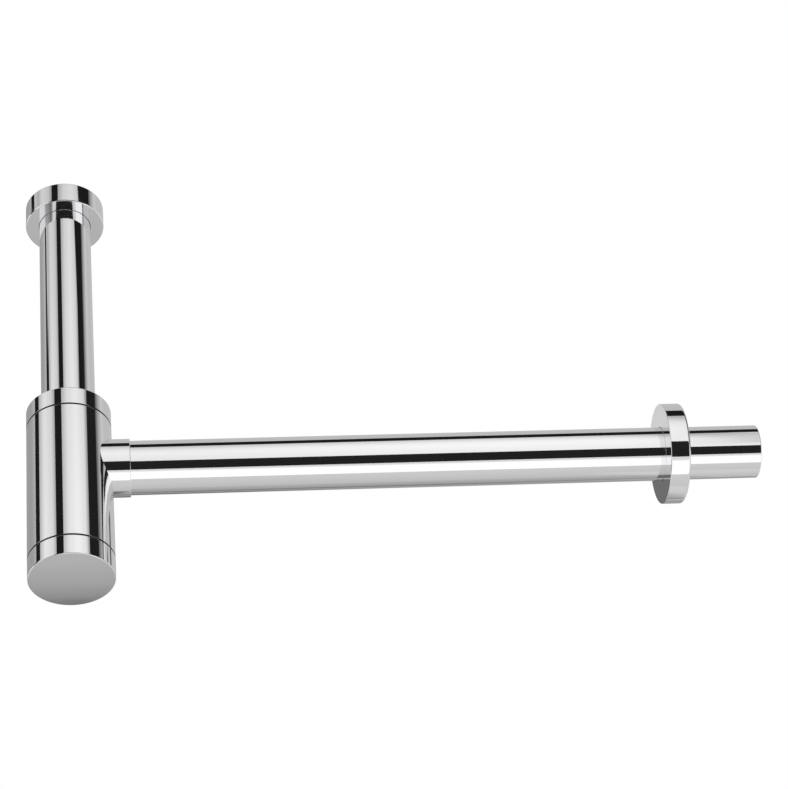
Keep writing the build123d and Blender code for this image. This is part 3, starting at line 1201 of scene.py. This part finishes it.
        # The left back card gets narrower upwards, and over it another stands for the union nut
        stand("left back card", -102, -86.5, -1.2, 1.34, 1.5, black, edges=((), soft(fall=0.93)))
        stand("left thin card", -101.5, -92.5, -1.2, 1.44, 1.49, black)
        stand("left high card", -115, -100, 1.44, 1.75, 1.49, black)
        stand(
            "right card", 50, 112, -0.3, 2.2, 1.5, grey,
            across=((0, 0.021), (0.44, 0.021), (0.47, 0.25), (0.62, 0.65), (0.74, 0.9), (1, 1.0)),
            edges=(soft(fall=0.8), ()),
        )
        # Low dark strips further back, which the bottle's flank shows under the pipe
        for left, right in ((107, 112), (120.5, 129)):
            edges = (soft(0.25, 0.75), soft(0.2, 0.85))
            stand("right strip", left, right, 0.78, 1.09, 1.6, 0.06, edges=edges)
        # A thin veil, which dims the front softbox for the flange and the pipe's outer end
        thin = ((0, 0), (0.28, 0.09), (0.62, 0.3), (1, 0.3))
        panel(
            "right veil", (0.16, 0.9), (0.535, -0.52, 0.18), (0.45, 0, 0.18), 0.08,
            edges=(thin, soft(0.15, 0.85)), lights=False,
        )
        # A thin pale veil behind, which lightens the lower side of the flange and of the pipe's outer end
        thin = ((0, 0), (0.15, 0.55), (0.8, 0.55), (1, 0))
        panel(
            "back veil", (0.24, 1.0), (0.585, 0.5, -0.75), (0.585, 0, -0.75), 0.8,
            edges=(thin, soft(0.25, 0.85)), lights=False,
        )
        # Cards along the pipe: one over it, one around the camera
        panel("top card", (1.9, 0.59), (0.85, -0.612, 1.274), (0.85, 0, OUTLET_Z), black)
        panel("camera card", (2.6, 0.82), (0.3, -1.14, -0.824), (0.3, 0, OUTLET_Z), 0.017)
        # Behind the object: a light wall with a dark foot, which the flange's face shows
        sides = soft(0.4, 0.6)
        panel("back light", (0.7, 1.1), (0, 1.2, 1.3), (0, 0, 1.3), grey, edges=(sides, soft(fall=0.7)))
        panel("back card", (0.7, 1.0), (0, 1.2, 0.25), (0, 0, 0.25), 0.17, edges=(sides, soft(0.3)))
        # On the floor: white under the pipe, grey behind it, dark on the left
        lay("white floor card", (2.0, 0.89), 0.65, -0.505, 1.2, edges=(soft(0.14, 0.86), soft(fall=0.8)))
        near = ((0, 0.1), (0.036, 0.31), (0.049, 0.51), (0.068, 0.635), (0.1, 0.735), (0.25, 0.88), (1, 1.0))
        lay("grey floor card", (0.91, 1.7), -0.395, 0.79, grey, upward=near, edges=(soft(0.5), ()))
        near = ((0, 0.28), (0.19, 0.47), (0.52, 0.6), (0.64, 0.64), (0.74, 0.72), (0.79, 0.86), (1, 1.0))
        lay("right floor card", (1.69, 6.0), 0.905, 2.94, grey, upward=near)
        lay("far floor card", (1.86, 10.0), -0.87, 6.64, 0.18, edges=(soft(0.5), soft(0.1)))
        lay("horizon floor card", (3.0, 5.7), 1.56, 8.79, 0.18, edges=(soft(fall=0.4), soft(0.15)))
        near = ((0, 0.6), (0.5, 0.72), (0.8, 0.9), (1, 1))
        lay("far right floor card", (2.0, 6.0), 2.75, 2.94, grey, upward=near, edges=(soft(fall=0.3), ()))
        edges = (soft(0.4), soft(0.25, 0.75))
        lay("left floor card", (1.4, 1.3), -1.05, -0.3, 0.15, raised=0.02, edges=edges)

        camera = bpy.data.cameras.new("Camera")
        camera.sensor_fit = "HORIZONTAL"
        camera.sensor_width = 36.0
        camera.lens = studio.focal * camera.sensor_width
        camera.shift_x, camera.shift_y = studio.shift
        camera.clip_start = 0.05
        level = Vector((math.sin(studio.turn), math.cos(studio.turn), 0))
        forward = math.cos(studio.tilt) * level + Vector((0, 0, math.sin(studio.tilt)))
        right = Vector((math.cos(studio.turn), -math.sin(studio.turn), 0))
        up = right.cross(forward)
        right, up = (
            math.cos(studio.roll) * right + math.sin(studio.roll) * up,
            -math.sin(studio.roll) * right + math.cos(studio.roll) * up,
        )
        eye = bpy.data.objects.new("Camera", camera)
        scene.collection.objects.link(eye)
        facing = Matrix((right, up, -forward)).transposed().to_4x4()
        eye.matrix_world = Matrix.Translation(Vector(studio.target) - studio.distance * forward) @ facing
        scene.camera = eye
        return {"FINISHED"}


class TRAP_PT_sidebar(bpy.types.Panel):
    """The trap's pieces and its studio, in the 3D view's sidebar"""

    bl_idname = "TRAP_PT_sidebar"
    bl_label = "Bottle trap"
    bl_space_type = "VIEW_3D"
    bl_region_type = "UI"
    bl_category = "Trap"

    def draw(self, context):
        for group in (context.scene.trap_shape, context.scene.trap_finish, context.scene.trap_studio):
            for key in group.__annotations__:
                self.layout.prop(group, key)
        for operator in OPERATORS:
            self.layout.operator(operator.bl_idname)


GROUPS = {"trap_shape": TrapShape, "trap_finish": TrapFinish, "trap_studio": TrapStudio}
OPERATORS = (
    TRAP_OT_union,
    TRAP_OT_tube,
    TRAP_OT_gland,
    TRAP_OT_bottle,
    TRAP_OT_cup,
    TRAP_OT_pipe,
    TRAP_OT_flange,
    TRAP_OT_studio,
)


def register():
    for cls in (*GROUPS.values(), *OPERATORS, TRAP_PT_sidebar):
        bpy.utils.register_class(cls)
    for name, group in GROUPS.items():
        setattr(bpy.types.Scene, name, bpy.props.PointerProperty(type=group))


def unregister():
    for name in GROUPS:
        delattr(bpy.types.Scene, name)
    for cls in reversed((*GROUPS.values(), *OPERATORS, TRAP_PT_sidebar)):
        bpy.utils.unregister_class(cls)


def main():
    register()
    bpy.ops.trap.union()
    bpy.ops.trap.tube()
    bpy.ops.trap.gland()
    bpy.ops.trap.bottle()
    bpy.ops.trap.cup()
    bpy.ops.trap.pipe()
    bpy.ops.trap.flange()
    bpy.ops.trap.studio()
    bpy.context.view_layer.update()


if __name__ == "__main__":
    main()
